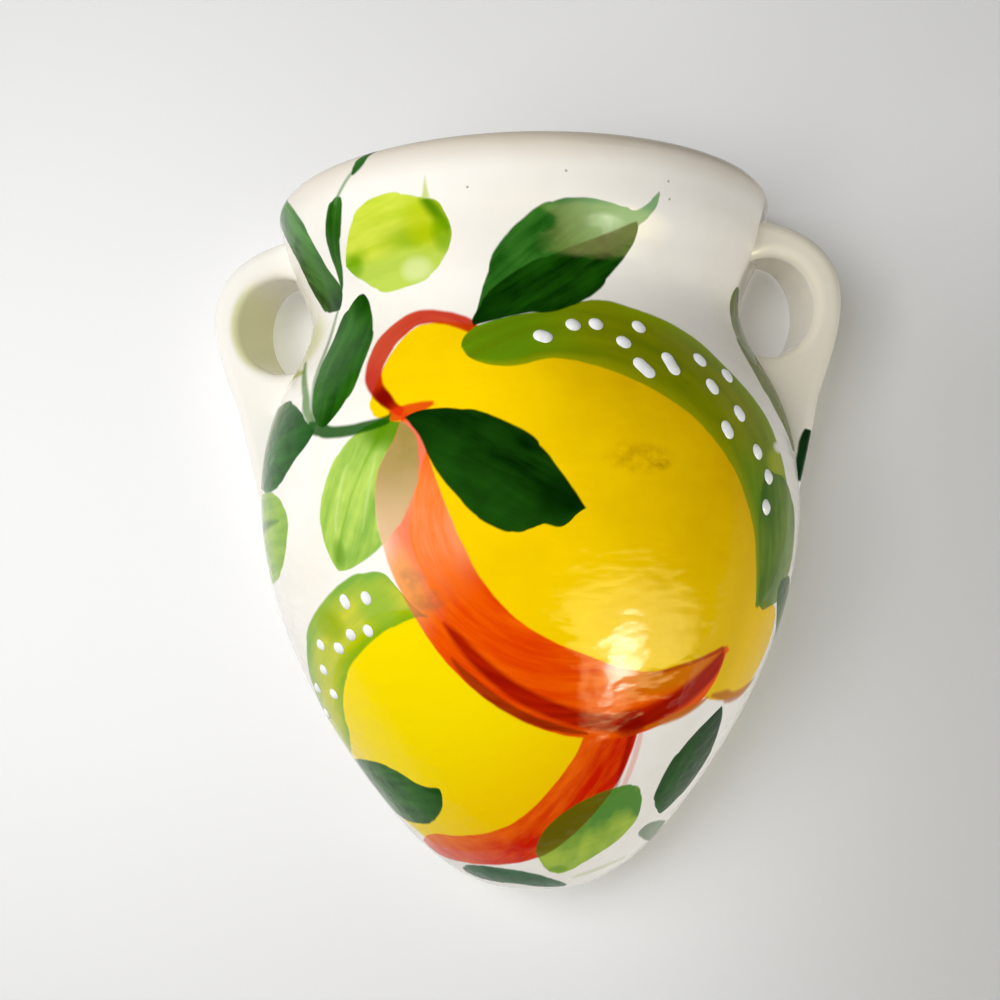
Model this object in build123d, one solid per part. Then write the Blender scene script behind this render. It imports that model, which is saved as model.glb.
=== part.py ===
from build123d import *

import os
from math import cos, hypot, radians, sin, sqrt

# Hanging wall vase: half of a thrown amphora luted to a flat back slab, with two ear handles.
# Millimetres, +Z up. The origin is the centre of the hanging hole on the wall plane, the slab's back face.
# The wall is at +Y and the painted front faces -Y. While it is drawn, heights are counted from the base.

# Thrown half amphora: outer radius at each level, counted up from the base or down from the rim
HEIGHT = 181.0
BASE_RADIUS = 17.5
FOOT_RADIUS = 40.5
FOOT_HEIGHT = 20.0
FLANK_RADIUS = 64.2
FLANK_HEIGHT = 60.0
BELLY_RADIUS = 73.0
BELLY_HEIGHT = 96.0
SHOULDER_RADIUS = 67.2
SHOULDER_DROP = 51.0
NECK_RADIUS = 59.3
NECK_DROP = 29.0
COLLAR_RADIUS = 64.2
COLLAR_DROP = 17.0
RIM_RADIUS = 67.4
RIM_FLARE = 12.0          # degrees that the rim leans out from the vertical
BASE_LIFT = 28.0          # degrees that the flank rises from the base plane
BASE_ROUND = 4.0          # rounding of the corner between base and flank
WALL = 6.0

# Flat back slab with its hanging hole
SLAB = 6.0
SLAB_ROUND = 2.0          # rounding of its edge on the wall side
HANG_DROP = 28.0          # rim down to the centre of the hanging hole
HANG_RADIUS = 4.5

# Ear handles, flush with the wall plane: an oval finger gap with mould draft, and the strap round it
GAP_OUT = 5.2             # middle of the gap, out from the neck
GAP_DROP = 29.5
GAP_HALF_WIDTH = 9.5      # at the wall plane
GAP_HALF_HEIGHT = 14.0
GAP_SPREAD = 2.4          # wider by this on each side at the front of the strap
GAP_DIP = 2.5             # its middle lies lower by this there
GAP_TRIM = 1.0            # and it is shorter by this above and below
STRAP_DEPTH = 27.0
STRAP_TOP = 7.5           # strap above the gap at the wall plane, where it leaves the neck
STRAP_SLOPE = 10.0        # degrees that its outer line falls there
STRAP_SIDE = 6.7          # strap outside the front of the gap
CROWN_DROP = 30.5         # where the strap stands out furthest
TAIL_DROP = 53.0
TAIL_OUT = 10.1           # strap's outer line, out from the shoulder
HEEL_DROP = 80.5
HEEL_SINK = 2.4           # where the outer line ends, in from the belly
HEEL_LEAN = 14.5          # degrees that it leans in from the vertical there
STRAP_FRONT_ROUND = 3.1
ROUND_SHARE = 0.48        # most of the strap's width that one front rounding takes up
STRAP_BACK_ROUND = 1.5

# Raised dots of white enamel, seen from the front: (sideways, height, longer than wide by this, tilt of the
# long side in degrees). The large lemon's are counted down from the rim, the small lemon's up from the base.
LARGE_DOT_WIDTH = 3.3
SMALL_DOT_WIDTH = 2.9
DOT_RISE = 0.7
DOT_SEAT = 0.02           # film of glaze between the shell and a dot
LARGE_LEMON_DOTS = [
    (7.9, 46.2, 1.2, -25), (14.6, 43.3, 0.3, -40), (19.7, 43.0, 0.2, -45),
    (29.4, 43.2, 0.3, -55), (25.8, 47.4, 0.4, -35), (30.1, 53.6, 2.7, -45),
    (36.3, 52.2, 3.0, -72), (43.4, 50.5, 0.6, -40), (50.0, 53.7, 0.5, -50),
    (45.9, 57.0, 0.9, -50), (52.3, 62.9, 1.0, -35), (48.9, 67.1, 1.2, -50),
    (56.5, 71.7, 0.7, -30), (59.3, 77.4, 0.7, -25), (58.4, 84.6, 0.7, -35),
]
SMALL_LEMON_DOTS = [
    (-39.1, 76.6, 0.8, -60), (-33.4, 77.5, 0.4, -60), (-38.4, 68.9, 0.3, 20), (-33.6, 70.0, 0.2, -50),
    (-47.9, 65.9, 0.3, 10), (-42.3, 65.5, 0.7, 10), (-48.3, 59.5, 0.3, 15), (-46.3, 53.4, 0.5, 20),
    (-52.3, 54.0, 0.2, 15), (-51.5, 46.9, 0.2, 15),
]

LIP = WALL / 2            # the lip is a full round over the wall
HANG_HEIGHT = HEIGHT - HANG_DROP


def heading(angle):
    """Unit direction in the profile plane, at so many degrees above outward."""
    return Vector(cos(radians(angle)), sin(radians(angle)))


# Outer line of the wall as (radius, height), from the base corner to where the lip starts to round over
base_corner = JernArc((BASE_RADIUS, 0), (1, 0), BASE_ROUND, BASE_LIFT)
outer = Spline(
    base_corner @ 1,
    (FOOT_RADIUS, FOOT_HEIGHT),
    (FLANK_RADIUS, FLANK_HEIGHT),
    (BELLY_RADIUS, BELLY_HEIGHT),
    (SHOULDER_RADIUS, HEIGHT - SHOULDER_DROP),
    (NECK_RADIUS, HEIGHT - NECK_DROP),
    (COLLAR_RADIUS, HEIGHT - COLLAR_DROP),
    (RIM_RADIUS, HEIGHT - LIP * (1 + sin(radians(RIM_FLARE)))),
    tangents=[base_corner % 1, heading(90 - RIM_FLARE)],
)


def inside(share):
    """The point one wall thickness in from the outer line, at a share of its length."""
    along = outer % share
    return outer @ share + Vector(-along.Y, along.X) * WALL


# Inner line one wall thickness in, and the lip's round between the two
inner = Spline(*[inside(step / 12) for step in range(13)])
lip_top = (outer @ 1 + inner @ 1) * 0.5 + Vector(0, LIP)
lip_out = TangentArc(outer @ 1, lip_top, tangent=outer % 1)
lip_in = TangentArc(lip_top, inner @ 1, tangent=(-1, 0))
floor = Polyline(inner @ 0, (0, (inner @ 0).Y), (0, 0), base_corner @ 0)
wall_face = Plane.XZ * make_face([base_corner, outer, lip_out, lip_in, inner, floor])
core = Polyline(lip_top, (0, HEIGHT), (0, 0), base_corner @ 0)
half_outline = Plane.XZ * make_face([base_corner, outer, lip_out, core])

# The half amphora stands on the slab's front face, open at the mouth
on_slab = Pos(0, -SLAB, 0) * Rot(0, 0, 180)
front_shell = on_slab * revolve(wall_face, Axis.Z, 180)
front_filled = on_slab * revolve(half_outline, Axis.Z, 180)

# Back slab in the vase's own outline, its top edge rounded like the lip inside the mouth
slab_blank = extrude(half_outline, SLAB) + extrude(mirror(half_outline, about=Plane.YZ), SLAB)
wall_side = slab_blank.faces().sort_by(Axis.Y)[-1]
back_slab = fillet(wall_side.outer_wire().edges(), SLAB_ROUND)
mouth_width = 2 * (lip_top.X - LIP)
lip_bar = Box(mouth_width, LIP, LIP, align=(Align.CENTER, Align.MIN, Align.MAX))
lip_bar -= Pos(0, LIP, -LIP) * Rot(0, 90, 0) * Cylinder(LIP, mouth_width)
back_slab -= Pos(0, -SLAB, HEIGHT) * lip_bar
back_slab -= Pos(0, -SLAB / 2, HANG_HEIGHT) * Rot(90, 0, 0) * Cylinder(HANG_RADIUS, 2 * SLAB)


def level(height):
    """Share of the outer line's length at which it reaches a height."""
    low, high = 0.0, 1.0
    for _ in range(40):
        middle = (low + high) / 2
        if (outer @ middle).Y < height:
            low = middle
        else:
            high = middle
    return low


# Outer line of the right ear, from inside the neck's wall over the crown to inside the belly
gap_x = NECK_RADIUS + GAP_OUT
gap_z = HEIGHT - GAP_DROP
front_half_width = GAP_HALF_WIDTH + GAP_SPREAD
ear_top = gap_z + GAP_HALF_HEIGHT + STRAP_TOP
ear_line = Spline(
    (NECK_RADIUS, ear_top),
    (gap_x + front_half_width + STRAP_SIDE, HEIGHT - CROWN_DROP),
    (SHOULDER_RADIUS + TAIL_OUT, HEIGHT - TAIL_DROP),
    (BELLY_RADIUS - HEEL_SINK, HEIGHT - HEEL_DROP),
    tangents=[heading(-STRAP_SLOPE), heading(-90 - HEEL_LEAN)],
)
lead = ear_line @ 0 - heading(-STRAP_SLOPE) * 2 * GAP_HALF_WIDTH
ear_core = Polyline(ear_line @ 1, (lead.X, (ear_line @ 1).Y), lead, ear_line @ 0)
ear = extrude(Plane.XZ * make_face([ear_line, ear_core]), STRAP_DEPTH)

# The finger gap is an oval tunnel that opens towards the front
wall_end = Plane.XZ * Pos(gap_x, gap_z) * Ellipse(GAP_HALF_WIDTH, GAP_HALF_HEIGHT)
front_end = Pos(gap_x, gap_z - GAP_DIP) * Ellipse(front_half_width, GAP_HALF_HEIGHT - GAP_TRIM)
strap_width = front_end.distance_to(ear_line)
ear -= loft([wall_end, Plane.XZ.offset(STRAP_DEPTH) * front_end], ruled=True)


def rims(side):
    """Edges of the ear's front or wall face that stay in sight: its outer line and the gap."""
    return [edge for edge in side.edges() if edge.geom_type != GeomType.LINE]


front_round = min(STRAP_FRONT_ROUND, ROUND_SHARE * strap_width)
ear = fillet(rims(ear.faces().sort_by(Axis.Y)[0]), front_round)
ear = fillet(rims(ear.faces().sort_by(Axis.Y)[-1]), STRAP_BACK_ROUND)
right_handle = ear - front_filled - slab_blank
left_handle = mirror(right_handle, about=Plane.YZ)


def proud(point):
    """How far the shell stands out beyond a point, level with it."""
    return (outer @ level(point.Z)).X - hypot(point.X, point.Y + SLAB)


def enamel_dot(width, sideways, up, stretch, tilt):
    """One raised dot: a low oval dome seated square on the shell, just clear of its skin."""
    share = level(up)
    radius = (outer @ share).X
    climb = outer % share
    spoke = Vector(sideways, -sqrt(radius ** 2 - sideways ** 2)) / radius
    out = Vector(spoke.X * climb.Y, spoke.Y * climb.Y, -climb.X)
    along = Vector(cos(radians(tilt)), 0, sin(radians(tilt)))
    along = (along - out * along.dot(out)).normalized()
    across = out.cross(along)
    foot = spoke * radius + Vector(0, -SLAB, up)
    edge = [foot + along * (side * (width + stretch) / 2) for side in (-1, 1)]
    edge += [foot + across * (side * width / 2) for side in (-1, 1)]
    foot += out * (DOT_SEAT + max(0, *[proud(point) for point in edge]))
    ball = (width ** 2 / 4 + DOT_RISE ** 2) / (2 * DOT_RISE)
    side = Line((-stretch / 2, ball), (stretch / 2, ball))
    fore_end = JernArc(side @ 1, (1, 0), ball, -90)
    hind_end = JernArc(side @ 0, (-1, 0), ball, 90)
    bead = revolve(make_face([side, fore_end, hind_end, Line(hind_end @ 1, fore_end @ 1)]), Axis.X)
    dome = split(bead, Plane.XY.offset(ball - DOT_RISE), Keep.TOP)
    return Plane(foot - out * (ball - DOT_RISE), x_dir=along, z_dir=out) * dome


large_dots = [enamel_dot(LARGE_DOT_WIDTH, side, HEIGHT - drop, *oval) for side, drop, *oval in LARGE_LEMON_DOTS]
small_dots = [enamel_dot(SMALL_DOT_WIDTH, *dot) for dot in SMALL_LEMON_DOTS]
nodes = {
    "front_shell": front_shell,
    "back_slab": back_slab,
    "right_handle": right_handle,
    "left_handle": left_handle,
    "large_lemon_dots": Compound(children=large_dots),
    "small_lemon_dots": Compound(children=small_dots),
}

# Everything moves down so that the hanging hole is the origin
os.makedirs("parts", exist_ok=True)
for name, shape in nodes.items():
    export_step(Pos(0, 0, -HANG_HEIGHT) * shape, f"parts/{name}.step")
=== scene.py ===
from math import atan2, degrees, hypot, radians

import bpy
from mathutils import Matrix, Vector

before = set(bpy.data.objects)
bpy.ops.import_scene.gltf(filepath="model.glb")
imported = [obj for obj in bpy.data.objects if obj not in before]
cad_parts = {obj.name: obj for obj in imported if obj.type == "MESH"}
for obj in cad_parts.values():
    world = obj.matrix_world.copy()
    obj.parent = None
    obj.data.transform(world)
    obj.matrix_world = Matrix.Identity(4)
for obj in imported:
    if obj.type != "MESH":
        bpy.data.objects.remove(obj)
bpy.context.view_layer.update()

# Hanging wall vase in glazed earthenware, painted with two lemons, a lime and leaves.
# The painting is laid out flat, in millimetres: round the belly from its front middle, and up
# from the base.
MM = 1000                 # millimetres in one unit of the frame
BASE_TO_HOLE = 153.0      # base up to the hanging hole, the frame's origin
SLAB = 6.0                # the shell's axis stands this far in front of the wall
ROUND = 65.0              # radius on which the painting's sideways millimetres are counted
BLEED = -0.15             # paint starts this far outside its drawn edge

# Numbers of a Mix node's colour sockets, whose names its other sockets share.
MIX_FACTOR, MIX_UNDER, MIX_OVER, MIX_RESULT = 0, 6, 7, 2


class Value:
    """One output in a node tree; arithmetic on it adds Math nodes."""

    def __init__(self, tree, socket=None):
        self.tree = tree
        self.socket = socket

    def node(self, kind, settings=None, inputs=None, output=0):
        """Adds a node: its settings first, a curve's points among them, then its inputs."""
        made = self.tree.nodes.new(kind)
        for name, setting in (settings or {}).items():
            if name == "points":
                self.draw_curve(made.mapping, setting)
            else:
                setattr(made, name, setting)
        for name, filling in (inputs or {}).items():
            if isinstance(filling, Value):
                self.tree.links.new(filling.socket, made.inputs[name])
            else:
                made.inputs[name].default_value = filling
        return None if output is None else Value(self.tree, made.outputs[output])

    @staticmethod
    def draw_curve(mapping, points):
        """A smooth curve through (along, across) points, level beyond its ends."""
        mapping.use_clip = False
        mapping.extend = "HORIZONTAL"
        line = mapping.curves[0].points
        line[0].location, line[1].location = points[0], points[-1]
        for point in points[1:-1]:
            line.new(*point)
        for point in line:
            point.handle_type = "AUTO"
        mapping.update()

    def feed(self, target, name):
        """Links this value to an input of a node that is there already."""
        self.tree.links.new(self.socket, target.inputs[name])

    def math(self, operation, *others):
        inputs = dict(enumerate((self, *others)))
        return self.node("ShaderNodeMath", {"operation": operation}, inputs)

    def __add__(self, other):
        return self.math("ADD", other)

    def __radd__(self, other):
        return self.math("ADD", other)

    def __sub__(self, other):
        return self.math("SUBTRACT", other)

    def __rsub__(self, other):
        return self.node("ShaderNodeMath", {"operation": "SUBTRACT"}, {0: other, 1: self})

    def __mul__(self, other):
        return self.math("MULTIPLY", other)

    def __rmul__(self, other):
        return self.math("MULTIPLY", other)

    def __truediv__(self, other):
        return self.math("DIVIDE", other)

    def __rtruediv__(self, other):
        return self.node("ShaderNodeMath", {"operation": "DIVIDE"}, {0: other, 1: self})

    def curve(self, points):
        return self.node("ShaderNodeFloatCurve", {"points": points}, {"Value": self})

    def step(self, start, end):
        """0 before start, 1 after end, smooth between them."""
        return self.node("ShaderNodeMapRange", {"interpolation_type": "SMOOTHSTEP"},
                         {"Value": self, "From Min": start, "From Max": end})

    def parts(self):
        """The three values of a vector."""
        split = self.node("ShaderNodeSeparateXYZ", {}, {0: self}).socket.node
        return [Value(self.tree, socket) for socket in split.outputs]

    def vector(self, x, y, z):
        return self.node("ShaderNodeCombineXYZ", {}, {0: x, 1: y, 2: z})

    def noise(self, scale, detail=2.0, roughness=0.5):
        """Soft noise, about 0.5, over a vector."""
        inputs = {"Vector": self, "Scale": scale, "Detail": detail, "Roughness": roughness}
        return self.node("ShaderNodeTexNoise", {"noise_dimensions": "3D"}, inputs)

    def tint(self, under, over):
        """The colour under where this value is 0, the colour over where it is 1."""
        settings = {"data_type": "RGBA", "clamp_factor": True}
        inputs = {MIX_FACTOR: self, MIX_UNDER: under, MIX_OVER: over}
        return self.node("ShaderNodeMix", settings, inputs, MIX_RESULT)


def shade(red, green, blue):
    """A colour written as it looks on a screen, 0 to 255, as light."""
    parts = [part / 255 for part in (red, green, blue)]
    light = [part / 12.92 if part <= 0.04045 else ((part + 0.055) / 1.055) ** 2.4
             for part in parts]
    return light + [1.0]


BLACK = shade(0, 0, 0)
WHITE = shade(255, 255, 255)
WHITE_GLAZE = shade(247, 243, 235)
CREAM_GLAZE = shade(240, 233, 219)
# Colour of the painted shade along the rim, where the lip turns away from the light.
LIP_SHADE_COLOUR = shade(184, 168, 144)


class Mark:
    """One brush stroke: where it covers, and coordinates along and across it."""

    def __init__(self, mask, along, share, across, length):
        self.mask = mask
        self.along = along
        self.share = share
        self.across = across
        self.length = length

    def bristles(self, seed, run=0.05, pitch=0.35):
        """Streaks that run along the stroke, 0 to 1; run and pitch count them per millimetre."""
        lengthways = self.along * (self.length * run)
        place = self.along.vector(lengthways, self.across * pitch, seed)
        return place.noise(1.0, detail=3.0, roughness=0.6).step(0.3, 0.7)


class Canvas:
    """A piece's outer skin laid flat, and the colour painted on it so far."""

    def __init__(self, around, height, outside, wobble, colour):
        self.around = around
        self.height = height
        self.outside = outside
        self.wobble = wobble
        self.colour = colour

    def flat(self):
        return self.around.vector(self.around, self.height, 0.0)

    def sheet(self, name, paint, *marks):
        """Runs a painting function in a node group of its own.

        Marks from earlier sheets go in, and its own come out.
        """
        group = bpy.data.node_groups.new(name, "ShaderNodeTree")
        start = Value(group)
        own = [self.around, self.height, self.outside, self.wobble, self.colour]
        fillings = [*own, *marks]
        for number, filling in enumerate(fillings):
            kind = "NodeSocketColor" if filling is self.colour else "NodeSocketFloat"
            group.interface.new_socket(f"in_{number}", in_out="INPUT", socket_type=kind)
        sockets = start.node("NodeGroupInput").socket.node.outputs
        inside = [Value(group, socket) for socket in sockets][:len(fillings)]
        canvas = Canvas(*inside[:len(own)])
        painted = paint(canvas, *inside[len(own):]) or []
        results = [canvas.colour, *painted]
        for number, result in enumerate(results):
            kind = "NodeSocketColor" if result is canvas.colour else "NodeSocketFloat"
            group.interface.new_socket(f"out_{number}", in_out="OUTPUT", socket_type=kind)
        start.node("NodeGroupOutput", {}, dict(enumerate(results)), None)
        inputs = dict(enumerate(fillings))
        used = self.around.node("ShaderNodeGroup", {"node_tree": group}, inputs)
        self.colour, *found = [Value(used.tree, socket) for socket in used.socket.node.outputs]
        return found

    def lay(self, mask, colour, cover=1.0):
        """Lays a colour over what is painted so far."""
        self.colour = (mask * self.outside * cover).tint(self.colour, colour)

    def line(self, foot, tip):
        """Coordinates of a straight stroke: share of the way from foot to tip, and mm across it.

        With them come a function that converts points and the mm in one unit along.
        """
        run, rise = tip[0] - foot[0], tip[1] - foot[1]
        length = hypot(run, rise)
        out, up = run / length, rise / length
        foot_along = (foot[0] * out + foot[1] * up) / length
        foot_across = foot[1] * out - foot[0] * up
        along = self.around * (out / length) + (self.height * (up / length) - foot_along)
        across = self.height * out - self.around * up - foot_across

        def convert(point):
            side, over = point[0] - foot[0], point[1] - foot[1]
            return (side * out + over * up) / length, over * out - side * up

        return along, across, convert, length

    def arc(self, centre, start, radius):
        """Coordinates of a curved stroke: degrees round a centre from a start, and mm out from it.

        With them come a function that converts points and the mm in one degree at the radius.
        """
        side, over = self.around - centre[0], self.height - centre[1]
        angle = over.math("ARCTAN2", side) * degrees(1)
        along = (angle - start).math("WRAP", 360.0, 0.0)
        across = (side * side + over * over).math("SQRT")

        def convert(point):
            turn = degrees(atan2(point[1] - centre[1], point[0] - centre[0])) - start
            return turn % 360, hypot(point[0] - centre[0], point[1] - centre[1])

        return along, across, convert, radians(radius)

    def spot(self, centre, outline):
        """Where a filled round covers: its outline counter-clockwise from the right."""
        along, across, convert, _ = self.arc(centre, -1.0, 1.0)
        points = sorted(convert(point) for point in outline)
        joint = (points[0][1] + points[-1][1]) / 2
        radius = along.curve([(0.0, joint), *points, (360.0, joint)])
        return (radius - across + self.wobble).step(BLEED, 0.5)

    def stroke(self, coordinates, edge_a, edge_b, soft=0.5):
        """A brush stroke between two edges, each a list of points on the canvas."""
        along, across, convert, length = coordinates
        edges = [[convert(point) for point in edge] for edge in (edge_a, edge_b)]
        return self.between(along, across, length, edges, soft)

    def ribbon(self, coordinates, points, soft, rough=1.0):
        """A brush stroke along its middle line, as (around, up, half width) points."""
        along, across, convert, length = coordinates
        middle = [(*convert(point[:2]), point[2]) for point in points]
        edges = [[(far, out + side * half) for far, out, half in middle] for side in (-1, 1)]
        return self.between(along, across, length, edges, soft, rough)

    def between(self, along, across, length, edges, soft, rough=1.0):
        """A brush stroke between two edges given in the stroke's own coordinates."""
        low, high = sorted(edges, key=lambda edge: sum(out for _, out in edge) / len(edge))
        first = along.curve(low)
        second = along.curve(high)
        inside = (across - first).math("MINIMUM", second - across)
        starts, stops = min(low[0][0], high[0][0]), max(low[-1][0], high[-1][0])
        off_middle = (along - (starts + stops) / 2).math("ABSOLUTE")
        reach = off_middle.math("MULTIPLY_ADD", -length, (stops - starts) / 2 * length)
        mask = (inside.math("MINIMUM", reach) + self.wobble * rough).step(BLEED, soft)
        share = (across - first) / (second - first)
        return Mark(mask, along, share, across, length)


def leaf(canvas, foot, tip, below, above, seed, dark, light, lean=0.0, cover=1.0, streak=0.5,
         fade=0.4):
    """A leaf in one press of the brush, dark at the foot; its edges run from foot to tip.

    Lean makes the half above lighter, or the half below where it is negative. Streak is how far
    the bristles show, and fade the share of the way at which the dark of the foot has gone.
    """
    ends = canvas.line(foot, tip)
    mark = canvas.stroke(ends, [foot, *below, tip], [foot, *above, tip])
    half = mark.share.step(0.3, 0.7)
    cloud = canvas.flat().noise(0.11).step(0.35, 0.65)
    tone = mark.bristles(seed) * streak + cloud * 0.3 + (half * lean + max(0.0, -lean))
    tone = tone * mark.along.step(-0.2, fade)
    canvas.lay(mark.mask, tone.tint(dark, light), cover)
    return mark


def thin_stroke(canvas, points, colour, cover=0.9, soft=0.8):
    """A thin stroke along its middle line, as (around, up, half width) points."""
    ends = canvas.line(points[0][:2], points[-1][:2])
    mark = canvas.ribbon(ends, points, soft, rough=0.5)
    canvas.lay(mark.mask, colour, cover)


def dab(canvas, centre, across, up, colour, cover=0.8, within=1.0):
    """A soft oval touch of the brush, faded out to its edge, on what is painted there."""
    side = (canvas.around - centre[0]) / across
    over = (canvas.height - centre[1]) / up
    mask = 1 - (side * side + over * over).step(0.0, 1.0)
    canvas.lay(mask * within, colour, cover)


def paint_small_lemon(canvas):
    """The small lemon with its green rim and red underside, and the leaf over it."""
    body = canvas.stroke(
        canvas.line((-78, 34), (20, 42)),
        [(-78, 33), (-72, 24), (-60, 17), (-45, 13), (-30, 13), (-15, 14), (0, 17), (8, 22),
         (14, 28), (19, 38)],
        [(-78, 36), (-70, 45), (-60, 50), (-52, 58), (-45, 64), (-35, 70), (-25, 75), (-15, 72),
         (-5, 60), (5, 52), (15, 48), (19, 44)])
    warm = (canvas.around * 0.012 - canvas.height * 0.02 + 1.3).step(0.0, 1.0)
    canvas.lay(body.mask, warm.tint(shade(253, 224, 0), shade(246, 196, 0)))

    rim = canvas.stroke(
        canvas.line((-84, 34), (-19, 75)),
        [(-84, 34), (-70, 36.5), (-62, 40.5), (-57, 46), (-52, 52), (-46, 58), (-40, 63),
         (-33, 67.5), (-26, 71), (-18, 73)],
        [(-84, 36), (-79, 46), (-75, 50), (-68, 58), (-60, 66), (-52, 73), (-45, 77.5),
         (-38, 81.5), (-32, 83.3), (-26, 82.8), (-22, 80.5), (-19, 77), (-18, 74)])
    edge = (rim.share - 0.47).math("ABSOLUTE").step(0.1, 0.5)
    tone = edge * 0.75 + rim.bristles(3.0) * 0.3
    canvas.lay(rim.mask, tone.tint(shade(202, 204, 0), shade(116, 170, 20)), 0.94)
    dab(canvas, (-46, 71), 7, 5.5, shade(146, 172, 0), 0.8, rim.mask)
    dab(canvas, (-30, 76), 7, 7, shade(140, 184, 60), 0.7, rim.mask)

    low = canvas.stroke(
        canvas.arc((-20, 60), -135, 50),
        [(-62, 13), (-45, 17), (-30, 18), (-15, 20), (-5, 22.8), (3, 27.4), (10, 34), (15, 41),
         (17, 46), (19, 49)],
        [(-62, 9), (-45, 8.6), (-30, 8.8), (-15, 9.6), (0, 11.4), (10, 14), (20, 20), (26, 26),
         (30.5, 34), (31.6, 40), (32, 48)])
    right = low.along.step(20, 70)
    tone = low.share.step(0.1, 0.7) * 0.55 + low.bristles(5.0, run=0.06, pitch=0.3) * 0.6
    fresh = right.tint(shade(242, 108, 36), shade(242, 100, 10))
    strong = right.tint(shade(226, 56, 8), shade(208, 26, 0))
    canvas.lay(low.mask, tone.tint(fresh, strong), 0.92 + right * 0.08)
    thin_stroke(canvas, [(29.4, 30, 0.6), (30, 38, 1.6), (30, 47, 1.8)],
                shade(164, 12, 0), 0.85, 1.6)
    thin_stroke(canvas, [(31.5, 29.5, 0.8), (33, 36, 1.3), (33, 42, 1.2), (32, 46.5, 0.6)],
                shade(238, 160, 146), 0.6)

    leaf(canvas, (-27.4, 31), (-86, 27),
         [(-28.5, 28), (-31, 25.2), (-35, 22.8), (-40, 20.8), (-47, 19.4), (-55, 18.8),
          (-63, 19), (-70, 19.5), (-78, 21)],
         [(-28.5, 31.7), (-31, 31.6), (-34, 31.8), (-40, 33.9), (-45, 35.5), (-53, 36.3),
          (-60, 36), (-68, 35), (-78, 33.5)],
         8.0, shade(8, 70, 0), shade(66, 134, 34), fade=0.5)
    return rim.mask, low.mask


def paint_light_leaf(canvas):
    """The pale leaf at the left of the large lemon; its vein is drawn with the brush's edge."""
    mark = leaf(
        canvas, (-24, 118), (-39, 83.6),
        [(-28, 116.8), (-33, 114.5), (-37, 110.5), (-40.5, 105), (-42.5, 99), (-42.7, 93),
         (-41.5, 88)],
        [(-22.5, 117), (-20.8, 115.8), (-19, 114.1), (-17.8, 111.8), (-17.4, 108.2),
         (-17.4, 104.7), (-18.2, 100.9), (-20, 96.7), (-22.6, 92.9), (-26.2, 89.2), (-31, 86),
         (-35.5, 84)],
        21.0, shade(112, 168, 12), shade(190, 220, 84), lean=-0.25, cover=0.94, fade=0.5)
    vein = canvas.ribbon(
        canvas.line((-24, 118), (-38.5, 85)),
        [(-24, 118, 2.6), (-28, 111, 1.2), (-33, 101, 0.7), (-38.5, 85, 1.6)], 1.4)
    canvas.lay(vein.mask * mark.mask, shade(112, 166, 24), 0.75)
    for points in ([(-27, 110, 0.3), (-29, 101, 0.8), (-31, 92, 0.4)],
                   [(-24.5, 110, 0.3), (-26, 102, 1.0), (-27, 92, 0.4)],
                   [(-34, 108, 0.3), (-37, 100, 0.8), (-38, 92, 0.4)]):
        thin_stroke(canvas, points, shade(216, 234, 150), 0.5, 1.2)
    dab(canvas, (-38.2, 87.5), 2.6, 4.5, shade(104, 152, 44), 0.7, mark.mask)
    dab(canvas, (-24.5, 115.2), 9, 6, shade(90, 138, 2), 0.9, mark.mask)
    return [mark.mask]


LEMON = (14, 96)                # middle of the large lemon
LEMON_TURN = (LEMON, 140, 45)   # its red strokes turn round this: centre, start angle, radius


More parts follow.
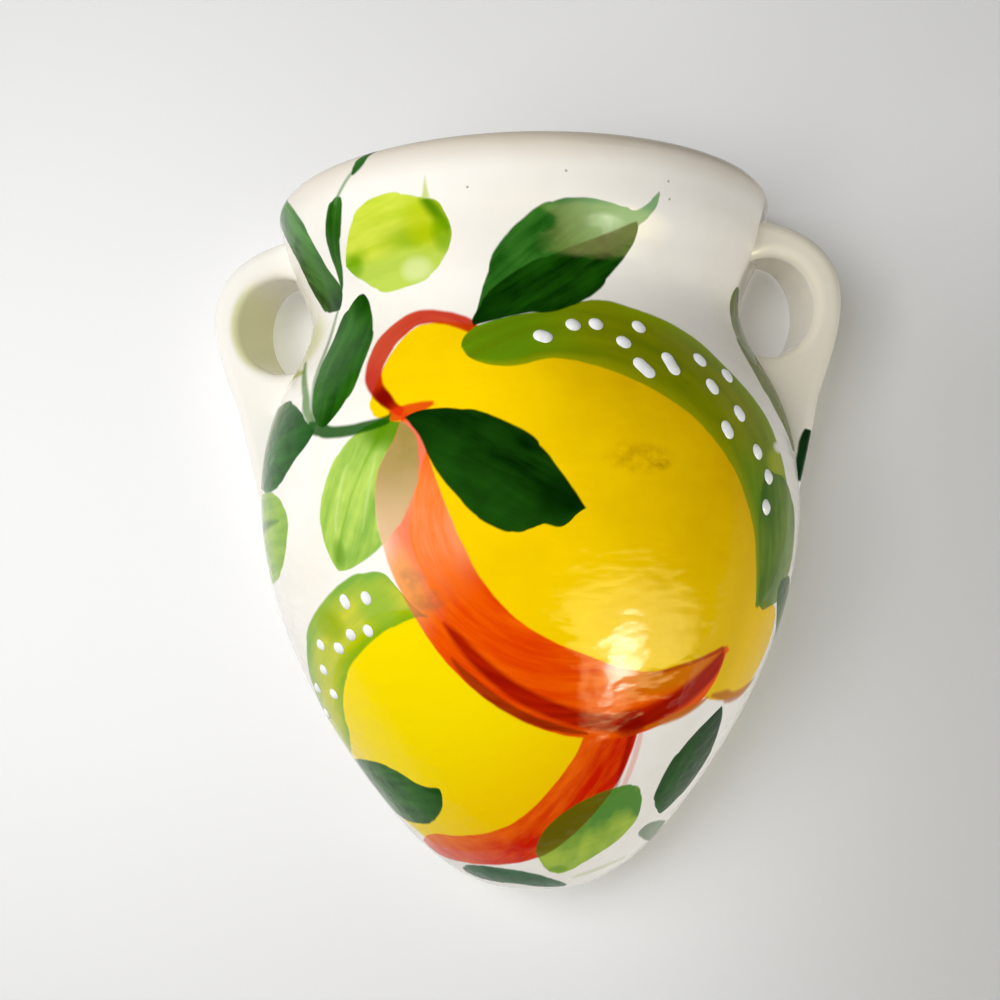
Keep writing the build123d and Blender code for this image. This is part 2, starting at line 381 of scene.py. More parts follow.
def paint_large_lemon(canvas):
    """The large lemon's yellow and its orange and red strokes."""
    body = canvas.spot(LEMON, [
        (62, 96), (54, 112), (42, 124), (27.2, 133.1), (12.1, 135.2), (0, 133.1), (-8, 126),
        (-14, 115), (-18, 103), (-20, 92), (-16, 78), (-8, 66), (4, 57), (18, 52), (34, 51),
        (46, 55), (55, 62), (61, 74), (63, 86)])
    nipple = canvas.stroke(
        canvas.line((-29, 130), (6, 122)),
        [(-29, 129), (-30, 126), (-30.2, 121.6), (-29, 118.9), (-26.6, 117.2), (-23, 116.4),
         (-15, 115), (0, 110), (6, 108)],
        [(-29, 129), (-28.2, 131.4), (-27.2, 134), (-25.8, 136.5), (-23.6, 138.8), (-19.5, 140),
         (-13, 139.6), (-5.2, 138), (6, 134.1)])
    end = canvas.stroke(
        canvas.line((44, 62), (79, 62)),
        [(44, 58), (48, 54), (52, 51.6), (58, 50.6), (66, 50.3), (72, 51.3), (76, 55), (79, 62)],
        [(44, 70), (48, 72), (55, 74), (62, 74.5), (70, 73.5), (75, 71), (78, 66), (79, 62)])
    cover = body.math("MAXIMUM", nipple.mask).math("MAXIMUM", end.mask)
    wash = canvas.flat().noise(0.045, detail=3.0, roughness=0.55).step(0.35, 0.7)
    # The yellow turns deeper gold towards the right and top: partly the lemon's own tone, partly
    # painted shade on the side away from the light.
    warm = ((canvas.around + canvas.height * 0.35) * 0.013 - 0.42).step(0.0, 1.0)
    yellow = (warm * 0.75 + wash * 0.25).tint(shade(255, 212, 0), shade(216, 168, 0))
    tip = canvas.around.step(54, 62) * (1 - canvas.height.step(70, 84))
    canvas.lay(cover, tip.tint(yellow, shade(246, 200, 0)))
    grain = canvas.flat().noise(0.4, detail=3.0, roughness=0.6).step(0.3, 0.7)
    dab(canvas, (26, 107), 9, 4.5, shade(176, 120, 4), 0.45, grain)
    dab(canvas, (30.5, 105.6), 2.6, 1.6, shade(130, 88, 8), 0.55, grain)
    fold = canvas.ribbon(
        canvas.line((53, 52), (78, 55)),
        [(53, 52.4, 0.8), (60, 51.8, 1.9), (68, 51.0, 1.9), (74, 52.4, 1.5), (78, 56, 0.6)], 1.2)
    canvas.lay(fold.mask, shade(186, 98, 4), 0.85)

    wide = canvas.stroke(
        canvas.arc(*LEMON_TURN),
        [(-18.5, 117), (-16.6, 113), (-14.6, 106), (-12.4, 99), (-9.8, 91.4), (-5.8, 82),
         (1.6, 72.4), (10, 67), (17, 64), (25, 61), (33, 60), (42, 61), (50, 63.6), (53.5, 64.5)],
        [(-22, 117), (-23.2, 112.6), (-25.4, 108.6), (-27, 104.5), (-27.4, 98), (-26.8, 91),
         (-25.3, 84.2), (-21.4, 74), (-16, 64), (-10, 57), (0, 50), (10, 46), (20, 44.5),
         (30, 44.5), (40, 47), (50, 51), (54, 62)])
    streaks = wide.bristles(11.0, run=0.03, pitch=0.3)
    down = wide.along.step(54, 84)
    pale = wide.share.step(0.72, 1.0) * wide.along.step(28, 44)
    salmon = (pale * 0.8 + streaks * 0.25).tint(shade(252, 104, 34), shade(254, 200, 178))
    orange = down.tint(salmon, shade(246, 98, 0))
    red = (streaks * 0.85 * down).tint(orange, shade(226, 54, 0))
    red = (0.8 - wide.along.step(16, 34) * 0.8).tint(red, shade(240, 78, 6))
    outer = wide.share.step(0.55, 0.8) * wide.along.step(45, 60) * (1 - wide.along.step(66, 80))
    red = (outer * 0.9).tint(red, shade(248, 152, 40))
    tail = wide.along.step(138, 158) * (1 - wide.share.step(0.25, 0.6))
    red = (tail * 0.9).tint(red, shade(214, 118, 0))
    canvas.lay(wide.mask, red, 0.9 + down * 0.1)
    deep = canvas.ribbon(
        canvas.arc(*LEMON_TURN),
        [(-14.8, 72.5, 0.6), (-12, 68.6, 1.9), (-7.5, 63, 2.4), (0, 56.4, 2.7), (10, 51.4, 2.8),
         (20, 48.6, 2.8), (30, 48.6, 3.4), (40, 51.6, 3.6), (48, 56.6, 3.4), (51.8, 60.5, 2.6),
         (53, 64, 0.7)], 1.6)
    dark = deep.bristles(13.0, run=0.03, pitch=0.5) * 0.7
    canvas.lay(deep.mask, dark.tint(shade(146, 2, 0), shade(192, 30, 0)), 0.94)
    outline = canvas.ribbon(
        canvas.arc(*LEMON_TURN),
        [(-14, 64.4, 0.4), (-11.5, 60.8, 1.3), (-6, 55.4, 1.6), (2, 50.4, 1.5), (10, 47.6, 1.3),
         (18, 46, 0.6)], 0.9)
    dark = outline.bristles(15.0) * 0.6
    canvas.lay(outline.mask, dark.tint(shade(120, 16, 0), shade(178, 66, 14)), 0.85)
    low_edge = canvas.ribbon(
        canvas.arc(*LEMON_TURN),
        [(33, 46.2, 0.6), (40, 47.6, 1.3), (47, 49.6, 1.5), (53, 52.4, 0.6)], 1.0)
    canvas.lay(low_edge.mask, shade(200, 108, 16), 0.9)
    top_edge = canvas.ribbon(
        canvas.arc(*LEMON_TURN),
        [(30, 58.8, 0.3), (38, 60.2, 0.7), (45, 61.7, 0.8), (52.6, 64, 1.0)], 0.6)
    canvas.lay(top_edge.mask, shade(178, 40, 0), 0.85)
    dab(canvas, (29.5, 47), 5, 4.4, shade(128, 4, 0), 0.7, wide.mask)

    ring = canvas.stroke(
        canvas.arc((-20, 129), 15, 12),
        [(-8.7, 135.9), (-12.4, 137.7), (-15.7, 138.9), (-19.5, 139.4), (-22.8, 139),
         (-24.9, 137.3), (-26.6, 135.6), (-27.5, 133.4), (-28.1, 131.2), (-28.3, 128.6),
         (-27.4, 126), (-25, 123.2), (-23, 120.9), (-21.1, 119.5)],
        [(-7.9, 139.8), (-12.6, 142), (-16.4, 143), (-20.4, 143.7), (-24.5, 143.6),
         (-28.4, 142.2), (-31.9, 139.6), (-33.7, 137), (-34.2, 133.8), (-34, 130.2),
         (-33, 126.6), (-30.2, 122.9), (-26.7, 120), (-23, 117.6)], 0.8)
    dark_end = ring.along.step(150, 205)
    pale = ring.along.step(85, 125) * (1 - ring.along.step(140, 175))
    tone = (ring.bristles(16.0) * 0.6).tint(shade(196, 34, 0), shade(212, 66, 14))
    tone = (pale * 0.35).tint(tone, shade(212, 84, 36))
    canvas.lay(ring.mask, dark_end.tint(tone, shade(182, 16, 0)), 0.97)
    dab(canvas, (-26.8, 122), 4.6, 4, shade(120, 0, 0), 0.9, ring.mask)
    knot = canvas.ribbon(
        canvas.line((-25, 118), (-14, 120)),
        [(-25, 118, 0.8), (-21, 118.4, 2.0), (-17.5, 119.4, 1.5), (-14.5, 120.1, 0.5)], 0.8)
    canvas.lay(knot.mask, shade(222, 52, 12), 0.9)
    return [wide.mask]


def paint_lemon_rim(canvas, small_rim, light_leaf, red):
    """The large lemon's green strokes, and where the red lies over its neighbours."""
    rim = canvas.stroke(
        canvas.arc(LEMON, -30, 45),
        [(61, 73), (58, 83), (56, 90), (53, 97), (50, 103), (45, 110), (40, 115.5), (30, 122.5),
         (20, 127), (10, 129.2), (0, 127.6), (-6, 129), (-8.9, 130.8)],
        [(63, 73), (70, 82), (72, 90), (72, 100), (70, 107), (67.5, 113), (66, 116.5), (60, 124),
         (55, 129), (48, 136.2), (41.2, 139.9), (30.9, 142.9), (25.7, 144.2), (17.4, 143.8),
         (10.2, 141.8), (-0.1, 140.3), (-4.2, 139.3), (-8.6, 137.4), (-10.3, 134.9),
         (-10.3, 133.1)])
    middle = rim.along.step(30, 60) * (1 - rim.along.step(105, 140))
    olive = middle.tint(shade(100, 146, 10), shade(140, 146, 0))
    streaks = rim.bristles(17.0, run=0.03, pitch=0.25)
    olive = (streaks * 0.6).tint(olive, shade(98, 120, 0))
    pale = rim.share.step(0.72, 0.98) * (1 - rim.along.step(95, 120))
    olive = (pale * 0.7).tint(olive, shade(142, 164, 10))
    inner = 1 - rim.share.step(0.02, 0.2)
    olive = (inner * 0.6).tint(olive, shade(164, 164, 6))
    canvas.lay(rim.mask, olive)
    dab(canvas, (66, 107), 6, 5, shade(166, 176, 20), 0.9, rim.mask)
    dab(canvas, (68, 111), 3.4, 1.8, WHITE_GLAZE, 0.9)
    leaf(canvas, (61, 106), (67, 72),
         [(58.5, 101), (57.5, 97), (58, 90), (60, 82), (61.5, 75.5), (64, 72.6)],
         [(64, 104.8), (70, 103.5), (75, 99), (79, 93), (80.5, 87), (79, 80), (75, 74)],
         19.0, shade(52, 96, 0), shade(116, 146, 30), lean=0.35, cover=0.93)

    mottle = canvas.flat().noise(0.16).step(0.3, 0.7)
    veil = canvas.height.step(88, 112).tint(shade(230, 196, 152), shade(154, 140, 70))
    canvas.lay(light_leaf * red, (mottle * 0.25).tint(veil, shade(206, 168, 120)), 0.95)
    canvas.lay(small_rim * red, shade(150, 110, 80), mottle * 0.4 + 0.35)
    smear = canvas.flat().noise(0.3).step(0.25, 0.6)
    dab(canvas, (-20.4, 81.6), 4, 3.6, shade(160, 112, 90), 0.4, smear)
    dab(canvas, (-17.4, 77), 5, 3.2, shade(146, 98, 70), 0.45, smear)


def paint_lime(canvas):
    """The lime at the upper left, with a darker bloom at its right."""
    lime = canvas.stroke(
        canvas.line((-47.2, 157.5), (-12.9, 160.8)),
        [(-47.2, 157.5), (-44.9, 154.9), (-41.7, 152.9), (-37.4, 150.6), (-31.6, 149.2),
         (-25.4, 149.8), (-20.1, 151.8), (-16.2, 154.8), (-13.8, 157.9), (-12.9, 160.8)],
        [(-47.2, 157.5), (-45.7, 159.9), (-43.3, 162.5), (-39.7, 166.1), (-35.6, 169.1),
         (-30, 170.3), (-24.1, 169.6), (-19.1, 168.1), (-16.2, 167.3), (-13.8, 163.9),
         (-12.9, 160.8)])
    streaks = lime.bristles(23.0, run=0.04, pitch=0.25)
    green = (streaks * 0.7).tint(shade(214, 226, 76), shade(178, 206, 18))
    low = 1 - lime.share.step(0.3, 0.5)
    green = (low * 0.65).tint(green, shade(178, 208, 88))
    band = lime.share.step(0.34, 0.46) * (1 - lime.share.step(0.5, 0.72))
    patch = (1 - lime.along.step(0.1, 0.32)).math("MAXIMUM", lime.along.step(0.3, 0.75))
    green = (band * patch * 0.8).tint(green, shade(126, 172, 0))
    canvas.lay(lime.mask, green)
    bloom = canvas.ribbon(
        canvas.line((-19.7, 168.9), (-13, 159.5)),
        [(-19.7, 168.9, 0.6), (-17, 165.8, 2.6), (-14.7, 162.5, 2.4), (-13, 159.5, 0.5)], 2.4)
    dab(canvas, (-18.9, 162.3), 8, 7, shade(190, 206, 0), 0.7, lime.mask)
    canvas.lay(bloom.mask * lime.mask, shade(74, 130, 0), 0.92)
    dab(canvas, (-15.2, 159.9), 4, 5, shade(120, 168, 0), 0.75, lime.mask)
    dab(canvas, (-44.7, 157), 5.5, 3.6, shade(112, 168, 0), 0.8, lime.mask)
    # A soft pale spot on the lime: painted highlight.
    dab(canvas, (-24, 153.3), 6, 3.6, shade(240, 246, 196), 0.45, lime.mask)
    thin_stroke(canvas, [(-18.1, 167.3, 1.4), (-18, 170, 0.8), (-17.7, 172.7, 0.2)],
                shade(190, 210, 84), 0.8)


def paint_left_leaves(canvas):
    """Leaves and stems at the left of the lemons, dark ones last."""
    leaf(canvas, (-55.5, 95), (-92, 92),
         [(-57, 91.5), (-59, 88), (-64, 83.5), (-70, 81), (-77, 80), (-84, 83)],
         [(-57.5, 99.5), (-62, 102.5), (-68, 103.6), (-75, 103.5), (-84, 100)],
         27.0, shade(120, 168, 14), shade(176, 208, 78), cover=0.94, fade=0.3)
    thin_stroke(canvas, [(-60, 96, 0.4), (-66, 95.6, 1.4), (-74, 95, 1.8), (-86, 94, 0.6)],
                shade(74, 120, 50), 0.75, 1.4)

    dab(canvas, (-72, 142), 15, 9, shade(206, 208, 104), 0.5)
    thin_stroke(canvas,
                [(-86, 133.6, 1.8), (-76, 133.8, 2.2), (-70.9, 133.9, 1.8), (-61, 132.6, 0.5)],
                shade(158, 168, 52), 0.85, 1.4)
    thin_stroke(canvas,
                [(-68, 136.4, 0.6), (-62.6, 133.9, 1.4), (-55, 127.4, 1.7), (-50, 121, 1.8),
                 (-45.5, 117, 1.6)],
                shade(78, 128, 36), 0.85, 1.2)
    thin_stroke(canvas,
                [(-52.9, 149.3, 1.2), (-55.3, 142.6, 1.5), (-53.7, 136.3, 1.7), (-50.4, 127, 1.6),
                 (-46.5, 118, 1.2)],
                shade(92, 128, 78), 0.75, 1.4)
    thin_stroke(canvas,
                [(-49, 118.4, 0.9), (-44, 116.8, 2.2), (-38, 115.4, 1.7), (-31, 115.9, 1.6),
                 (-24, 118, 1.0)],
                shade(26, 86, 4), 0.96)
    leaf(canvas, (-45.6, 116.7), (-92, 115),
         [(-48, 113.3), (-52, 110.2), (-56, 107), (-60, 104.5), (-66, 103.2), (-73, 104),
          (-84, 106)],
         [(-50, 119.5), (-54, 122.5), (-60, 125), (-66, 126.3), (-72, 126), (-84, 124)],
         29.0, shade(4, 68, 0), shade(48, 128, 22), fade=0.5)
    upright = leaf(
        canvas, (-43, 116.8), (-42.9, 150.5),
        [(-40.5, 118.3), (-37, 123), (-35, 128.5), (-34.9, 135.2), (-36.3, 140.4),
         (-38.7, 145.4), (-41, 149.1)],
        [(-47, 119.6), (-50, 125), (-51.8, 131.1), (-52.6, 136.3), (-52.6, 142.6),
         (-49.2, 147.4), (-45.3, 150)],
        31.0, shade(14, 66, 0), shade(50, 116, 18), lean=0.2, fade=0.3)
    dab(canvas, (-43.6, 149.3), 5, 7, shade(12, 60, 0), 0.7, upright.mask)
    leaf(canvas, (-53.5, 148.1), (-93, 181),
         [(-52.6, 149.8), (-52.2, 154.3), (-54.7, 157.7), (-56.1, 162.2), (-58.1, 167.4),
          (-61.9, 173.2), (-67.9, 178.9), (-80, 182.5)],
         [(-57.2, 148.1), (-62.5, 149.2), (-66.5, 151.2), (-70.6, 156.1), (-71.1, 160.8),
          (-72.4, 166.1), (-79.3, 173.2), (-88, 178)],
         33.0, shade(8, 52, 0), shade(84, 142, 60), lean=-0.5, fade=0.5)
    leaf(canvas, (-52.4, 152.4), (-42.2, 172.6),
         [(-49.6, 155.5), (-47.6, 159.6), (-45.8, 162.8), (-43.7, 165.5), (-42.2, 168.7)],
         [(-52.1, 157.8), (-51.4, 162.4), (-49.9, 166.9), (-48.1, 170.1), (-45.3, 172.1)],
         35.0, shade(26, 80, 6), shade(72, 130, 40))
    thin_stroke(canvas, [(-44.5, 170.8, 0.9), (-41.4, 173.8, 0.7), (-36.7, 176.8, 0.6)],
                shade(84, 132, 66), 0.8)
    leaf(canvas, (-37.4, 176.3), (-28.5, 181),
         [(-35.4, 176.3), (-33.6, 177.2), (-31.5, 179.4)],
         [(-36.2, 178.4), (-34.6, 180), (-31.5, 181)],
         37.0, shade(30, 84, 24), shade(62, 116, 52))


def paint_middle_leaves(canvas):
    """The leaf in two presses above the large lemon, and the leaf over it."""
    upper = leaf(
        canvas, (-8.1, 138), (36.5, 169.2),
        [(-3.2, 145.3), (10, 151.1), (19.7, 155.7), (28, 159.4), (32.2, 161.1), (34.7, 163.4),
         (36.6, 167.3)],
        [(-7.3, 144.3), (-5.1, 151.1), (0.1, 159), (5, 162.8), (10.7, 165.3), (16.5, 166.2),
         (24.1, 165.5), (28.8, 164.8), (32.6, 165.2), (34.7, 167.2)],
        39.0, shade(22, 80, 10), shade(66, 128, 44), fade=0.3)
    # Paler towards its tip: partly thinner paint, partly painted highlight where the window shows
    # in the glaze.
    canvas.lay(upper.mask * upper.along.step(0.5, 0.85), shade(146, 188, 134), 0.8)
    leaf(canvas, (-8.1, 138), (32.3, 161.7),
         [(-4.2, 138.9), (5, 140.7), (15.3, 142.3), (20.5, 144.8), (25.3, 149.2), (28.9, 152.9),
          (31.3, 156.2), (32.3, 159)],
         [(-6.8, 143.3), (0, 150.1), (9.9, 154.2), (19.5, 157.6), (27, 160.4), (30.8, 162.1)],
         41.0, shade(2, 38, 0), shade(30, 86, 10), streak=0.6)
    middle = leaf(
        canvas, (-21.2, 117.2), (15, 96.2),
        [(-18, 113.3), (-15.3, 107.6), (-12.7, 103), (-9.6, 99), (-6.2, 95), (-2.8, 92.4),
         (0.5, 91.3), (3.9, 91.8), (6, 92.6), (7.1, 92.8), (8.7, 92.2), (11.5, 93.1),
         (12.7, 94.5)],
        [(-18.1, 118.6), (-14.9, 119), (-9.1, 118.5), (-2.4, 116.6), (2.4, 114), (6.4, 110),
         (9.7, 105.2), (12.2, 101.1)],
        43.0, shade(2, 32, 0), shade(28, 78, 12), lean=-0.45, streak=0.35)
    dab(canvas, (10, 98), 6, 6, shade(2, 32, 0), 0.7, middle.mask)


def paint_low_leaves(canvas, small_red):
    """The leaves round the foot and at the right, and pinholes in the glaze."""
    bottom = leaf(
        canvas, (3.5, 14), (45.6, 21),
        [(6, 10.8), (9, 8.3), (14, 7), (20, 7), (26, 8.8), (33, 11.5), (40, 14.6), (44, 18)],
        [(5.5, 19), (9, 22.5), (15, 26.5), (22, 29.5), (30, 31.6), (36, 31.6), (41, 28.8),
         (44, 25)],
        47.0, shade(170, 196, 44), shade(66, 132, 0), lean=0.8, streak=0.2, cover=0.96, fade=0.0)
    canvas.lay(bottom.mask * small_red, shade(108, 82, 8), 0.8)
    dab(canvas, (15.5, 8.2), 7, 1.8, shade(104, 150, 20), 0.75, bottom.mask)
    leaf(canvas, (61, 49.2), (59.6, 20.8),
         [(58, 47), (53, 43), (49.5, 38.5), (47.3, 33), (47.5, 29), (50, 25.5), (55, 22.5)],
         [(64, 46.5), (67, 42), (70, 37), (71.5, 32.5), (70.5, 28.5), (66, 24), (62, 21.5)],
         49.0, shade(2, 46, 0), shade(30, 90, 8), lean=-0.3, fade=0.7)
    leaf(canvas, (-48, 5), (28, 1.6),
         [(-40, 3), (-25, 2.5), (-10, 2.5), (5, 1.4), (20, 0.8)],
         [(-42, 7.2), (-30, 8.8), (-15, 8.8), (0, 7.5), (10, 5.7), (20, 3.6)],
         51.0, shade(36, 84, 46), shade(70, 114, 78), fade=0.2)
    thin_stroke(canvas, [(26, 4.4, 0.8), (40, 6.4, 1.6), (60, 8.4, 0.8)],
                shade(196, 204, 150), 0.6, 1.6)
    leaf(canvas, (72, 77), (98, 62),
         [(76, 71), (82, 66), (89, 61.6)],
         [(78, 79.5), (85, 78), (92, 71)],
         53.0, shade(46, 84, 36), shade(84, 116, 66))
    leaf(canvas, (52, 16.6), (84, 11.6),
         [(58, 14.2), (68, 12), (77, 10.8)],
         [(60, 19), (70, 17.8), (78, 14.6)],
         55.0, shade(84, 112, 72), shade(112, 134, 96), cover=0.85)
    leaf(canvas, (80, 111), (80.9, 154.9),
         [(86, 118), (88, 128), (88, 140), (87, 148)],
         [(76, 116), (70, 124), (67.7, 132.1), (70.2, 139.7), (73.2, 145.9), (75.9, 151.2)],
         57.0, shade(92, 110, 20), shade(126, 140, 52))
    for pinhole in ((13.8, 171.6), (38.7, 171.4), (-8.1, 168.9), (39.5, 167.6)):
        dab(canvas, pinhole, 0.4, 0.36, shade(110, 98, 80), 0.7)


def shade_left_handle_inside(canvas):
    """Painted shade, tinted olive, on the inside of the ear, where it faces the hole."""
    dab(canvas, (-77, 147), 12, 24, shade(226, 226, 164), 0.75)


def paint_right_handle(canvas):
    """Painted shade, tinted cream, over the strap, and one leaf at its foot."""
    # Painted shade over the whole strap, darker than the glaze.
    dab(canvas, (78, 148), 40, 46, shade(226, 218, 196), 0.7)
    leaf(canvas, (72.8, 117.2), (70.2, 103.6),
         [(70.6, 114), (69.8, 110), (69.4, 106.5)],
         [(75.4, 114), (75.4, 109), (73.4, 105)],
         61.0, shade(8, 42, 10), shade(40, 86, 44), fade=0.9)


GLAZE_IOR = 1.48
LOW_SPECULAR = 0.1
SKIN_DEPTH = 0.0006             # depth of the unevenness in the glaze
DULL_GLAZE = 0.07               # least roughness of plain glaze
DULL_PAINTED = 0.035            # of the painted glaze, which is shinier
DULL_ENAMEL = 0.12
OUTWARD = (0.0, 6.0)            # millimetres of radius that face outwards where the paint sets in
LIP = (172.0, 180.6)            # heights over which the rim is painted darker: painted shade where the lip turns away from the light
LIP_SHADE = 0.7                  # how dark that painted shade gets
BELLY_RIDGES = 0.24             # millimetres of relief that the brush leaves
NECK_SMOOTHER = 0.17            # by this much less on the neck
NECK = (125.0, 150.0)           # heights over which the belly turns into the neck
NECK_RINGS = ((149.5, 158.5, 0.6), (157.0, 168.0, 0.9))     # foot, top and millimetres of rise


def new_material(name):
    """A material, the place on its piece, and its shader."""
    material = bpy.data.materials.new(name)
    material.use_nodes = True
    place = Value(material.node_tree).node("ShaderNodeTexCoord", output="Object")
    return material, place, material.node_tree.nodes["Principled BSDF"]


def facing(place):
    """The three values of the direction in which the surface faces."""
    return place.node("ShaderNodeNewGeometry", output="Normal").parts()


def hand_wobble(around, height, reach):
    """How far a stroke's edge strays from its drawn line, in millimetres."""
    return (around.vector(around, height, 0.0).noise(0.28) - 0.5) * reach


def white_ground(place):
    """White tin glaze, creamier where it lies thin."""
    thin = place.noise(34.0, detail=3.0, roughness=0.55).step(0.42, 0.75)
    return (thin * 0.6).tint(WHITE_GLAZE, CREAM_GLAZE)


def gloss(place, shader, dull=DULL_GLAZE, waves=0.25, relief=None):
    """A fired gloss, a little uneven, over a skin that is too; relief is in millimetres."""
    uneven = place.noise(60.0) * 0.05 + dull
    uneven.feed(shader, "Roughness")
    skin = place.noise(70.0, roughness=0.45) + place.noise(320.0, detail=1.0) * 0.08
    inputs = {"Strength": waves, "Distance": SKIN_DEPTH, "Height": skin}
    if relief:
        raised = {"Strength": 1.0, "Distance": 1 / MM, "Height": relief}
        inputs["Normal"] = place.node("ShaderNodeBump", inputs=raised)
    place.node("ShaderNodeBump", inputs=inputs).feed(shader, "Normal")
    shader.inputs["IOR"].default_value = GLAZE_IOR
    shader.inputs["Specular IOR Level"].default_value = LOW_SPECULAR


def painted_glaze():
    """White glaze with the whole painting, on the outside of the shell."""
    material, place, shader = new_material("painted_glaze")
    x, y, z = place.parts()
    sideways, forward = MM * x, -MM * y - SLAB
    height = MM * z + BASE_TO_HOLE
    around = ROUND * sideways.math("ARCTAN2", forward)
    facing_x, facing_y, _ = facing(place)
    outside = (facing_x * sideways - facing_y * forward).step(*OUTWARD)
    wobble = hand_wobble(around, height, 0.35)
    # Painted shade along the rim: half as dark at the left, where more light falls, full at the
    # right.
    lip = height.step(*LIP) * (around.step(-70.0, 0.0) * (LIP_SHADE / 2) + LIP_SHADE / 2)
    ground = lip.tint(white_ground(place), LIP_SHADE_COLOUR)
    canvas = Canvas(around, height, outside, wobble, ground)
    small_rim, small_red = canvas.sheet("small_lemon", paint_small_lemon)
    light_leaf, = canvas.sheet("light_leaf", paint_light_leaf)
    red, = canvas.sheet("large_lemon", paint_large_lemon)
    canvas.sheet("large_lemon_rim", paint_lemon_rim, small_rim, light_leaf, red)
    canvas.sheet("lime", paint_lime)
    canvas.sheet("leaves_left", paint_left_leaves)
    canvas.sheet("leaves_middle", paint_middle_leaves)
    canvas.sheet("leaves_low", paint_low_leaves, small_red)
    canvas.colour.feed(shader, "Base Color")
    ridges = place.vector(around * 0.16, height * 0.3, 0.0).noise(1.0, detail=1.5)
    strokes = ridges * (BELLY_RIDGES - height.step(*NECK) * NECK_SMOOTHER)
    low_ring, high_ring = (height.step(foot, top) * rise for foot, top, rise in NECK_RINGS)
    gloss(place, shader, DULL_PAINTED, relief=strokes + (low_ring + high_ring))
    return material


def slab_glaze():
    """White glaze, with the same painted shade along its top edge as the rim has, but not on the
    back.
    """
    material, place, shader = new_material("slab_glaze")
    _, _, z = place.parts()
    _, facing_y, _ = facing(place)
    # Painted shade along the top edge, left off the back face.
    lip = (MM * z + BASE_TO_HOLE).step(*LIP) * (LIP_SHADE - facing_y.step(0.3, 0.8) * LIP_SHADE)
    lip.tint(white_ground(place), LIP_SHADE_COLOUR).feed(shader, "Base Color")
    gloss(place, shader)
    return material


def handle_glaze(name, paint, side):
    """White glaze with a little colour on one side, a leaf or painted shade, laid out as seen from
    the front.
    """
    material, place, shader = new_material(name)
    x, _, z = place.parts()
    facing_x, facing_y, _ = facing(place)
    reached = (facing_x * side[0] + facing_y * side[1]).step(0.15, 0.6)
    sideways, height = MM * x, MM * z + BASE_TO_HOLE
    wobble = hand_wobble(sideways, height, 0.5)
    canvas = Canvas(sideways, height, reached, wobble, white_ground(place))
    paint(canvas)
    canvas.colour.feed(shader, "Base Color")
    gloss(place, shader)
    return material


def enamel():
    """The thick white of the raised dots."""
    material, place, shader = new_material("white_enamel")
    cloud = place.noise(420.0).step(0.35, 0.7)
    cloud.tint(shade(248, 248, 247), shade(234, 236, 236)).feed(shader, "Base Color")
    gloss(place, shader, DULL_ENAMEL, waves=0.1)
    return material


def glaze_pieces():
    """Gives each piece of the vase its finish."""
    dots = enamel()
    finishes = {
        "front_shell": painted_glaze(),
        "back_slab": slab_glaze(),
        "left_handle": handle_glaze("left_handle_glaze", shade_left_handle_inside, (1, 0)),
        "right_handle": handle_glaze("right_handle_glaze", paint_right_handle, (0, -1)),
        "large_lemon_dots": dots,
        "small_lemon_dots": dots,
    }
    for name, finish in finishes.items():
        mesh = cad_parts[name].data
        mesh.materials.clear()
        mesh.materials.append(finish)


WALL_HALF = 2.5                 # half the wall's width
WALL_GAP = 0.0006               # from the back of the slab to the wall
WALL_CLEAR = 0.003              # rays that start nearer than this pass through the wall
WALL_DULL = 0.9


def stage():
    """The pale wall that the vase hangs on, with a painted shadow greyer to the right of the vase,
    fading towards the top.

    Seen from behind it is clear, and so it is for rays that start at the back of the slab, so
    that the back shows and is lit.
    """
    mesh = bpy.data.meshes.new("wall")
    across = ((-1, -1), (1, -1), (1, 1), (-1, 1))
    corners = [(WALL_HALF * x, WALL_GAP, WALL_HALF * z) for x, z in across]
    mesh.from_pydata(corners, [], [(0, 1, 2, 3)])
    wall = bpy.data.objects.new("wall", mesh)
    bpy.context.scene.collection.objects.link(wall)
    material, place, shader = new_material("wall_paint")
    x, _, z = place.parts()
    # Painted shadow of the vase: greyer to its right, fading out towards the top.
    painted_shadow = x.step(0.0, 0.13) * (1 - z.step(-0.03, 0.06))
    painted_shadow.tint(shade(246, 246, 246), shade(222, 222, 221)).feed(shader, "Base Color")
    shader.inputs["Roughness"].default_value = WALL_DULL
    shader.inputs["Specular IOR Level"].default_value = LOW_SPECULAR
    back = place.node("ShaderNodeNewGeometry", output="Backfacing")
    ray_length = place.node("ShaderNodeLightPath", output="Ray Length")
    see_through = back.math("MAXIMUM", ray_length.math("LESS_THAN", WALL_CLEAR))
    clear = place.node("ShaderNodeBsdfTransparent")
    paint = Value(place.tree, shader.outputs[0])
    seen = place.node("ShaderNodeMixShader", inputs={0: see_through, 1: paint, 2: clear})
    seen.feed(place.tree.nodes["Material Output"], "Surface")
    mesh.materials.append(material)


VASE_MIDDLE = Vector((0.0, -0.05, -0.06))
DAYLIGHT = (1.0, 1.0, 1.0)
SUNNY = shade(255, 239, 152)[:3]
BRIGHT = shade(255, 251, 236)[:3]
DOME = 0.17                     # strength of the light from all round
DOME_MIRRORED = 0.7             # it is dimmer by this share where the glaze mirrors it
WINDOW_TAPER = 1.6              # how much narrower a window is below

# Name, place, width, height and watts.
LAMPS = (
    ("front_left", (-0.15, -0.45, 0.0), 0.3, 0.3, 1.3),
    ("side_left", (-0.28, -0.32, -0.08), 0.25, 0.3, 0.5),
    ("low_right", (0.5, -0.075, -0.5), 0.1, 0.4, 1.9),
    ("behind", (0.5, 0.9, 0.3), 0.8, 0.8, 9.0),
)
# The same, then the colour and the share of the way out from which the window fades.
WINDOWS = (
    ("window", (0.47, -0.417, -0.578), 1.15, 0.7, 50.0, SUNNY, 0.45),
    ("window_pane", (0.47, -0.417, -0.65), 0.34, 0.42, 36.0, BRIGHT, 0.0),
)


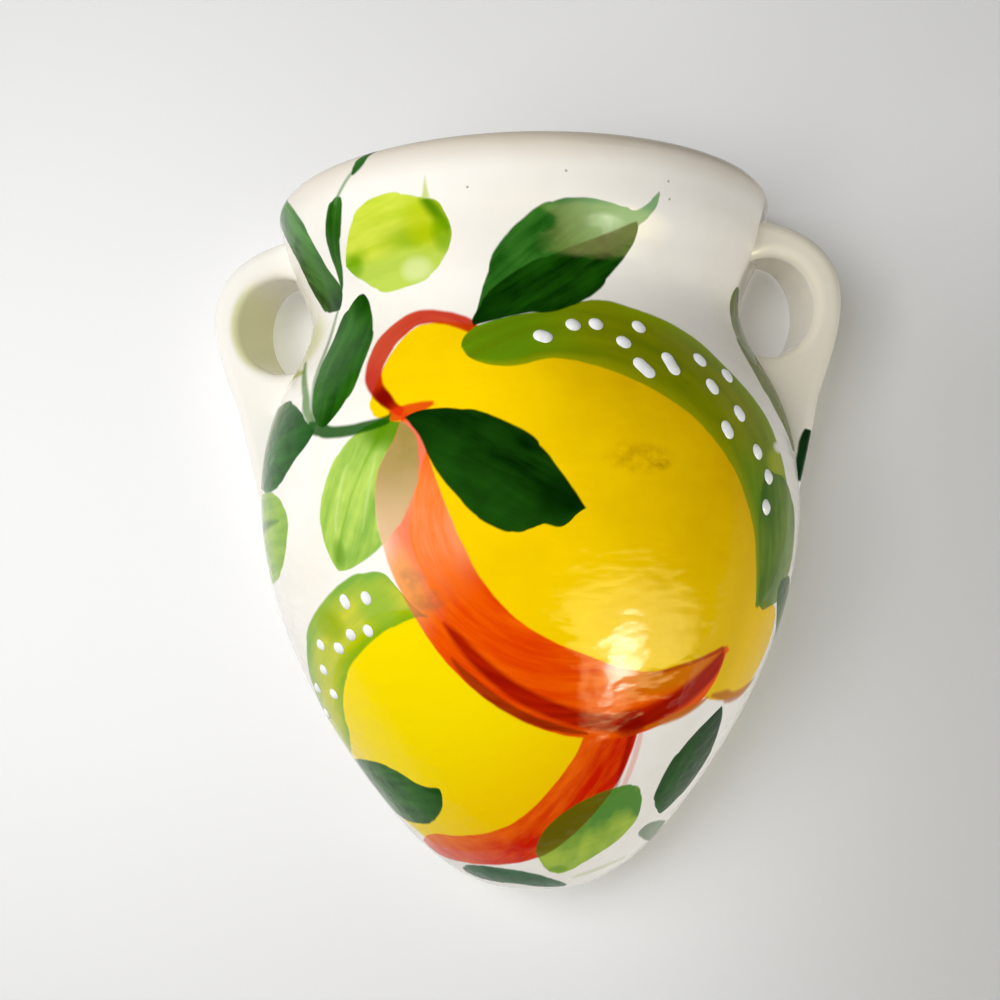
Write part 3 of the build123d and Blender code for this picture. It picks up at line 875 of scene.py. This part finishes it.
def lamp(name, place, width, height, watts, colour=DAYLIGHT):
    """A square lamp turned to the vase, which the glaze doesn't mirror."""
    light = bpy.data.lights.new(name, "AREA")
    light.shape = "RECTANGLE"
    light.size, light.size_y = width, height
    light.energy = watts
    light.color = colour
    made = bpy.data.objects.new(name, light)
    made.location = place
    made.rotation_euler = (VASE_MIDDLE - Vector(place)).to_track_quat("-Z", "Y").to_euler()
    made.visible_camera = False
    made.visible_glossy = False
    bpy.context.scene.collection.objects.link(made)
    return made


def window(name, place, width, height, watts, colour, edge):
    """A window that only shows mirrored in the glaze, narrow below and faded to its edge."""
    made = lamp(name, place, width, height, watts, colour)
    made.visible_glossy, made.visible_diffuse = True, False
    made.data.use_nodes = True
    start = Value(made.data.node_tree)
    across, up, _ = start.node("ShaderNodeTexCoord", output="UV").parts()
    across, up = 2 * across - 1, 2 * up - 1
    across = across * (1 + (0 - up).step(0.0, 0.6) * WINDOW_TAPER)
    fall = 1 - (across * across + up * up).math("SQRT").step(edge, 1.0)
    fall.tint(BLACK, WHITE).feed(start.tree.nodes["Emission"], "Color")


def light_up():
    """A dim dome, lamps round the vase, and a window with a bright pane, mirrored in the belly."""
    world = bpy.data.worlds.new("studio")
    world.use_nodes = True
    sky = world.node_tree.nodes["Background"]
    mirrored = Value(world.node_tree).node("ShaderNodeLightPath", output="Is Glossy Ray")
    (mirrored * DOME_MIRRORED).tint(shade(252, 250, 246), BLACK).feed(sky, "Color")
    sky.inputs["Strength"].default_value = DOME
    bpy.context.scene.world = world
    for settings in LAMPS:
        lamp(*settings)
    for settings in WINDOWS:
        window(*settings)


LENS, SENSOR = 38.99, 36.0      # millimetres
CAMERA_PLACE = (0.01863, -0.3083, -0.06588)
CAMERA_TURN = (92.774, 1.2234, 5.1138)      # degrees


def look():
    """The camera, close in front of the vase and a little to its right."""
    camera = bpy.data.cameras.new("camera")
    camera.lens = LENS
    camera.sensor_width = SENSOR
    made = bpy.data.objects.new("camera", camera)
    made.location = CAMERA_PLACE
    made.rotation_euler = [radians(angle) for angle in CAMERA_TURN]
    bpy.context.scene.collection.objects.link(made)
    bpy.context.scene.camera = made
    bpy.context.scene.view_settings.view_transform = "Standard"


glaze_pieces()
stage()
light_up()
look()
